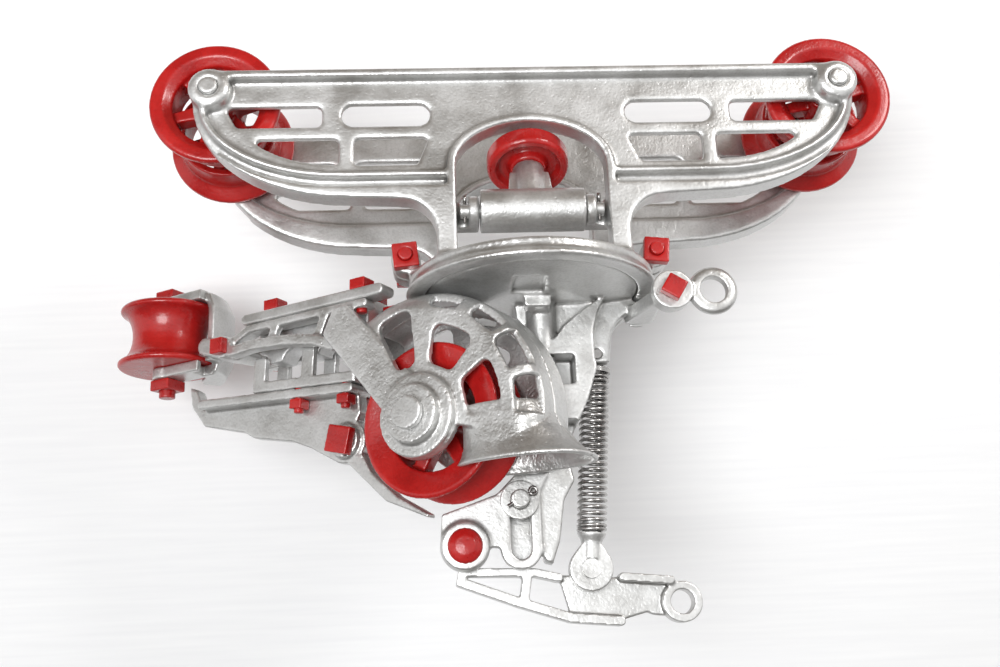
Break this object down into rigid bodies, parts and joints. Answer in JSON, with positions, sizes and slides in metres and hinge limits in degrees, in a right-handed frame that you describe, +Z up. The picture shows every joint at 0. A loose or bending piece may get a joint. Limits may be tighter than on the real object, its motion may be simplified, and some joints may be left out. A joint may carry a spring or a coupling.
{
  "type": "hay_trolley",
  "caption": "Overhead hay trolley of cast iron: flanged wheels on pierced side frames, turntable, rope sheave in a slotted hood, rope grip, guide roller and sprung trip lever",
  "frame": {"origin": "middle of the track's running surface, under the centre of the four wheels and on the turntable's axis", "axes": "+X along the track towards the becket eye, +Y across the track away from the stop catch, +Z up"},
  "size_m": [0.7333, 0.3282, 0.509],
  "materials": {
    "silver_paint": "aluminium paint over sand-cast iron",
    "red_enamel": "gloss enamel",
    "bright_steel": "worn bright steel"
  },
  "bodies": {
    "carriage": {"front_side_frame": "silver_paint", "rear_side_frame": "silver_paint", "wheel_axles": "silver_paint", "ring_bolts": "red_enamel", "ring_nuts": "red_enamel", "catch_hinge_pin": "silver_paint", "catch_cotters": "bright_steel"},
    "wheel_front_left": {"track_wheel_front_left": "red_enamel"},
    "wheel_front_right": {"track_wheel_front_right": "red_enamel"},
    "wheel_rear_left": {"track_wheel_rear_left": "red_enamel"},
    "wheel_rear_right": {"track_wheel_rear_right": "red_enamel"},
    "catch": {"catch_bracket": "silver_paint", "catch_roller_stud": "silver_paint"},
    "catch_wheel": {"catch_roller": "red_enamel"},
    "swivel": {"swivel_body": "silver_paint", "becket_eye": "silver_paint", "becket_bolt": "red_enamel", "housing_hinge_pin": "bright_steel", "trip_pivot_pin": "red_enamel", "spring_anchor_pin": "bright_steel"},
    "housing": {"housing_front": "silver_paint", "housing_rear": "silver_paint", "housing_bolts": "red_enamel", "housing_nuts": "red_enamel", "sheave_pin": "silver_paint", "upper_jaw": "silver_paint", "upper_jaw_bolts": "red_enamel", "guide_yoke": "silver_paint", "guide_bolt": "red_enamel", "guide_nut": "red_enamel", "grip_pivot_bolt": "red_enamel", "grip_pivot_nut": "red_enamel"},
    "sheave": {"rope_sheave": "red_enamel"},
    "guide": {"guide_roller": "red_enamel"},
    "grip": {"grip_lever": "silver_paint", "lower_jaw": "silver_paint", "lower_jaw_bolts": "red_enamel", "lower_jaw_nuts": "red_enamel"},
    "trip": {"trip_lever": "silver_paint", "eye_rivet": "silver_paint"},
    "link": {"lift_link": "silver_paint", "link_pin": "silver_paint", "link_washer": "silver_paint", "link_cotter": "bright_steel"},
    "hook": {"spring_hook": "bright_steel", "return_spring": "bright_steel"},
    "eye": {"spring_eye": "silver_paint"}
  },
  "joints": [
    {"name": "roll_front_left", "type": "hinge", "parent": "carriage", "child": "wheel_front_left", "pos_m": [-0.272, -0.02625, 0.046], "axis": [0, 1, 0], "continuous": true},
    {"name": "roll_front_right", "type": "hinge", "parent": "carriage", "child": "wheel_front_right", "pos_m": [0.272, -0.02625, 0.046], "axis": [0, 1, 0], "continuous": true},
    {"name": "roll_rear_left", "type": "hinge", "parent": "carriage", "child": "wheel_rear_left", "pos_m": [-0.272, 0.02625, 0.046], "axis": [0, 1, 0], "continuous": true},
    {"name": "roll_rear_right", "type": "hinge", "parent": "carriage", "child": "wheel_rear_right", "pos_m": [0.272, 0.02625, 0.046], "axis": [0, 1, 0], "continuous": true},
    {"name": "catch_swing", "type": "hinge", "parent": "carriage", "child": "catch", "pos_m": [0, -0.05525, -0.067], "axis": [1, 0, 0], "range_deg": [0, 20]},
    {"name": "catch_roll", "type": "hinge", "parent": "catch", "child": "catch_wheel", "pos_m": [0, -0.04954, -0.06885], "axis": [0, 0.309, 0.9511], "continuous": true},
    {"name": "turntable", "type": "hinge", "parent": "carriage", "child": "swivel", "pos_m": [0, 0, -0.12], "axis": [0, 0, 1], "continuous": true},
    {"name": "housing_swing", "type": "hinge", "parent": "swivel", "child": "housing", "pos_m": [0.008, 0.00325, -0.22], "axis": [0, 0, 1], "range_deg": [0, 32]},
    {"name": "sheave_turn", "type": "hinge", "parent": "housing", "child": "sheave", "pos_m": [-0.07972, -0.00294, -0.237], "axis": [0.5299, 0.848, 0], "continuous": true},
    {"name": "guide_turn", "type": "hinge", "parent": "housing", "child": "guide", "pos_m": [-0.35533, 0.16929, -0.105], "axis": [0, 0, 1], "continuous": true},
    {"name": "trip", "type": "hinge", "parent": "swivel", "child": "trip", "pos_m": [-0.064, 0.035, -0.338], "axis": [0, 1, 0], "range_deg": [0, 12], "stiffness_Nm_per_rad": 6, "springref_deg": -28.65},
    {"name": "grip_turn", "type": "hinge", "parent": "housing", "child": "grip", "pos_m": [-0.16198, 0.04847, -0.24], "axis": [0.5299, 0.848, 0], "range_deg": [0, 6.3]},
    {"name": "link_lift", "type": "slide", "parent": "swivel", "child": "link", "axis": [0, 0, -1], "range_m": [0, 0.0093]},
    {"name": "hook_turn", "type": "hinge", "parent": "swivel", "child": "hook", "pos_m": [0.0562, 0.02525, -0.176], "axis": [0, 1, 0], "range_deg": [0, 1.5]},
    {"name": "spring_stretch", "type": "slide", "parent": "hook", "child": "eye", "axis": [-0.0828, 0, -0.9966], "range_m": [0, 0.0225], "deforming": ["return_spring"]}
  ],
  "couplings": [
    {"joint": "grip_turn", "follows": "trip", "ratio": 0.52},
    {"joint": "link_lift", "follows": "trip", "m_per_rad": 0.044},
    {"joint": "hook_turn", "follows": "trip", "ratio": 0.113},
    {"joint": "spring_stretch", "follows": "trip", "m_per_rad": 0.1046}
  ]
}
